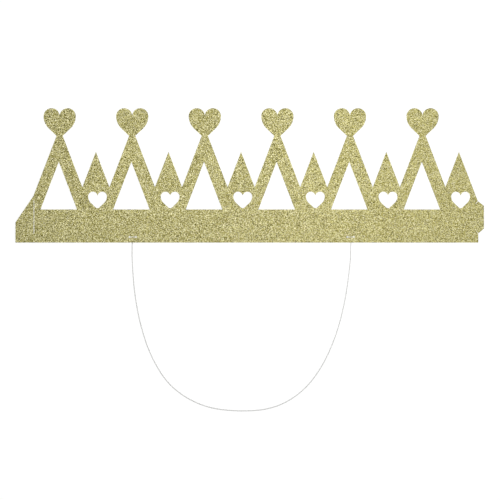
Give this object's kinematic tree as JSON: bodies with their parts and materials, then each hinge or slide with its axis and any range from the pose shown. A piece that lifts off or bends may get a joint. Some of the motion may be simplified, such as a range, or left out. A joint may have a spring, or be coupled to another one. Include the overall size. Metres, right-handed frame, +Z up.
{
  "type": "paper crown",
  "caption": "Flat glitter-card party crown with heart-topped peaks, cut windows, a tab-and-slit closure and a thin elastic chin cord tied through punched holes.",
  "frame": {"origin": "middle of the card's footprint on the surface that it lies on", "axes": "+X along the band from the slit to the tab, +Y up the crown from the band to the hearts, +Z up out of the glitter face"},
  "size_m": [0.387, 0.2508, 0.0036],
  "materials": {
    "glitter_card": "pale gold glitter on the face, plain off-white card behind",
    "elastic": "white braided cover over a rubber core"
  },
  "bodies": {
    "root": {"crown_card": "glitter_card", "elastic_cord": "elastic", "left_knot": "elastic", "right_knot": "elastic"}
  },
  "joints": []
}
